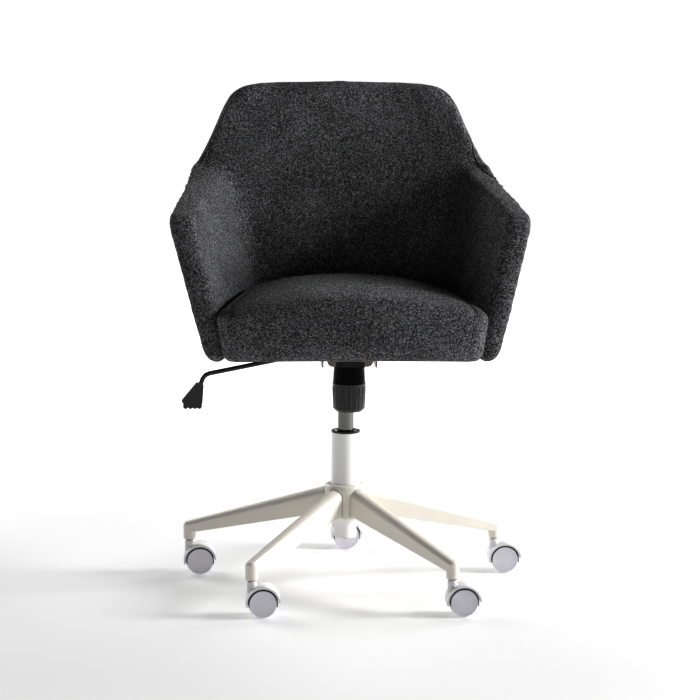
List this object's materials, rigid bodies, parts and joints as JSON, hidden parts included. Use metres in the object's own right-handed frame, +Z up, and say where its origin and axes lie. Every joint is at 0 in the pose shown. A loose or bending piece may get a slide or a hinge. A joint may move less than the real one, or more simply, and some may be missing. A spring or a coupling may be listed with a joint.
{
  "type": "swivel armchair",
  "caption": "Swivel office armchair: one-piece upholstered tub on a rocking mechanism and gas lift, with a tension knob, side lever and star base on hooded twin-wheel casters.",
  "frame": {"origin": "on the floor, on the swivel axis", "axes": "+Z up along the swivel axis, the sitter faces -Y, the control lever is on the -X side"},
  "size_m": [0.637, 0.5686, 0.878],
  "materials": {
    "ivory_paint": "satin powder coat",
    "clear_nylon": "natural nylon",
    "chrome": "polished",
    "white_plastic": "satin moulded",
    "wheel_disc": "satin moulded, faint lilac grey",
    "zinc_steel": "zinc plated",
    "dark_steel": "blackened",
    "black_plastic": "satin moulded",
    "black_rubber": "matt",
    "plywood": "sanded",
    "dust_cloth": "non-woven",
    "charcoal_cloth": "woven melange"
  },
  "bodies": {
    "base": {"base_hub": "ivory_paint", "base_leg_1": "ivory_paint", "base_leg_2": "ivory_paint", "base_leg_3": "ivory_paint", "base_leg_4": "ivory_paint", "base_leg_5": "ivory_paint", "socket_liners": "clear_nylon", "caster_stems": "chrome", "outer_column": "ivory_paint", "guide_sleeve": "black_plastic", "column_ring": "black_plastic", "thrust_bearing": "zinc_steel"},
    "piston": {"piston_rod": "chrome", "rod_clip": "zinc_steel"},
    "lift": {"gas_cylinder": "chrome", "taper_socket": "dark_steel", "mechanism_housing": "zinc_steel", "pivot_pin": "zinc_steel", "pivot_bushes": "black_plastic", "tilt_spring": "zinc_steel", "spring_boot": "black_rubber"},
    "valve": {"valve_button": "zinc_steel"},
    "lock": {"tilt_lock_slider": "dark_steel"},
    "lever": {"lever_rod": "black_plastic", "lever_grip": "black_plastic"},
    "bolt": {"tension_bolt": "zinc_steel"},
    "knob": {"tension_knob": "black_plastic"},
    "nut": {"pressure_plate": "zinc_steel"},
    "seat": {"seat_plate": "zinc_steel", "plate_bolts": "zinc_steel", "t_nuts": "zinc_steel", "seat_board": "plywood", "dust_cover": "dust_cloth", "shell_core": "plywood", "shell_screws": "zinc_steel", "inner_upholstery": "charcoal_cloth", "outer_cover": "charcoal_cloth", "seat_cushion": "charcoal_cloth"},
    "caster_1": {"caster_housing_1": "white_plastic", "caster_axle_1": "zinc_steel"},
    "wheel_1_left": {"wheel_1_left": "wheel_disc"},
    "wheel_1_right": {"wheel_1_right": "wheel_disc"},
    "caster_2": {"caster_housing_2": "white_plastic", "caster_axle_2": "zinc_steel"},
    "wheel_2_left": {"wheel_2_left": "wheel_disc"},
    "wheel_2_right": {"wheel_2_right": "wheel_disc"},
    "caster_3": {"caster_housing_3": "white_plastic", "caster_axle_3": "zinc_steel"},
    "wheel_3_left": {"wheel_3_left": "wheel_disc"},
    "wheel_3_right": {"wheel_3_right": "wheel_disc"},
    "caster_4": {"caster_housing_4": "white_plastic", "caster_axle_4": "zinc_steel"},
    "wheel_4_left": {"wheel_4_left": "wheel_disc"},
    "wheel_4_right": {"wheel_4_right": "wheel_disc"},
    "caster_5": {"caster_housing_5": "white_plastic", "caster_axle_5": "zinc_steel"},
    "wheel_5_left": {"wheel_5_left": "wheel_disc"},
    "wheel_5_right": {"wheel_5_right": "wheel_disc"}
  },
  "joints": [
    {"name": "seat_swivel", "type": "hinge", "parent": "base", "child": "piston", "pos_m": [0, 0, 0.2], "axis": [0, 0, 1], "continuous": true},
    {"name": "seat_height", "type": "slide", "parent": "piston", "child": "lift", "axis": [0, 0, 1], "range_m": [-0.11, 0]},
    {"name": "seat_tilt", "type": "hinge", "parent": "lift", "child": "seat", "pos_m": [0, -0.036, 0.42], "axis": [-1, 0, 0], "range_deg": [0, 12], "stiffness_Nm_per_rad": 120, "springref_deg": -12.61},
    {"name": "lock_pull", "type": "slide", "parent": "lift", "child": "lock", "axis": [-1, 0, 0], "range_m": [0, 0.008]},
    {"name": "lever_lift", "type": "hinge", "parent": "lock", "child": "lever", "pos_m": [-0.031, 0, 0.4237], "axis": [0, 1, 0], "range_deg": [0, 6], "stiffness_Nm_per_rad": 1.5, "springref_deg": -20.05},
    {"name": "valve_press", "type": "slide", "parent": "lift", "child": "valve", "axis": [0, 0, -1], "range_m": [0, 0.0046]},
    {"name": "bolt_rise", "type": "slide", "parent": "lift", "child": "bolt", "axis": [0, 0, 1], "range_m": [0, 0.0135], "deforming": ["tilt_spring", "spring_boot"]},
    {"name": "knob_turn", "type": "hinge", "parent": "bolt", "child": "knob", "pos_m": [0, -0.095, 0.35], "axis": [0, 0, 1], "range_deg": [0, 1440]},
    {"name": "nut_travel", "type": "slide", "parent": "bolt", "child": "nut", "axis": [0, 0, 1], "range_m": [0, 0.0065], "deforming": ["tilt_spring"]},
    {"name": "caster_swivel_1", "type": "hinge", "parent": "base", "child": "caster_1", "pos_m": [0, 0.29, 0.055], "axis": [0, 0, 1], "continuous": true},
    {"name": "wheel_roll_1_left", "type": "hinge", "parent": "caster_1", "child": "wheel_1_left", "pos_m": [0.019, 0.29, 0.025], "axis": [0, 1, 0], "continuous": true},
    {"name": "wheel_roll_1_right", "type": "hinge", "parent": "caster_1", "child": "wheel_1_right", "pos_m": [0.019, 0.29, 0.025], "axis": [0, 1, 0], "continuous": true},
    {"name": "caster_swivel_2", "type": "hinge", "parent": "base", "child": "caster_2", "pos_m": [-0.27581, 0.08962, 0.055], "axis": [0, 0, 1], "continuous": true},
    {"name": "wheel_roll_2_left", "type": "hinge", "parent": "caster_2", "child": "wheel_2_left", "pos_m": [-0.25681, 0.08962, 0.025], "axis": [0, 1, 0], "continuous": true},
    {"name": "wheel_roll_2_right", "type": "hinge", "parent": "caster_2", "child": "wheel_2_right", "pos_m": [-0.25681, 0.08962, 0.025], "axis": [0, 1, 0], "continuous": true},
    {"name": "caster_swivel_3", "type": "hinge", "parent": "base", "child": "caster_3", "pos_m": [-0.17046, -0.23461, 0.055], "axis": [0, 0, 1], "continuous": true},
    {"name": "wheel_roll_3_left", "type": "hinge", "parent": "caster_3", "child": "wheel_3_left", "pos_m": [-0.15146, -0.23461, 0.025], "axis": [0, 1, 0], "continuous": true},
    {"name": "wheel_roll_3_right", "type": "hinge", "parent": "caster_3", "child": "wheel_3_right", "pos_m": [-0.15146, -0.23461, 0.025], "axis": [0, 1, 0], "continuous": true},
    {"name": "caster_swivel_4", "type": "hinge", "parent": "base", "child": "caster_4", "pos_m": [0.17046, -0.23461, 0.055], "axis": [0, 0, 1], "continuous": true},
    {"name": "wheel_roll_4_left", "type": "hinge", "parent": "caster_4", "child": "wheel_4_left", "pos_m": [0.18946, -0.23461, 0.025], "axis": [0, 1, 0], "continuous": true},
    {"name": "wheel_roll_4_right", "type": "hinge", "parent": "caster_4", "child": "wheel_4_right", "pos_m": [0.18946, -0.23461, 0.025], "axis": [0, 1, 0], "continuous": true},
    {"name": "caster_swivel_5", "type": "hinge", "parent": "base", "child": "caster_5", "pos_m": [0.27581, 0.08962, 0.055], "axis": [0, 0, 1], "continuous": true},
    {"name": "wheel_roll_5_left", "type": "hinge", "parent": "caster_5", "child": "wheel_5_left", "pos_m": [0.29481, 0.08962, 0.025], "axis": [0, 1, 0], "continuous": true},
    {"name": "wheel_roll_5_right", "type": "hinge", "parent": "caster_5", "child": "wheel_5_right", "pos_m": [0.29481, 0.08962, 0.025], "axis": [0, 1, 0], "continuous": true}
  ],
  "couplings": [
    {"joint": "bolt_rise", "follows": "seat_tilt", "m_per_rad": 0.063},
    {"joint": "valve_press", "follows": "lever_lift", "m_per_rad": 0.0425},
    {"joint": "nut_travel", "follows": "knob_turn", "m_per_rad": 0.00023873}
  ]
}
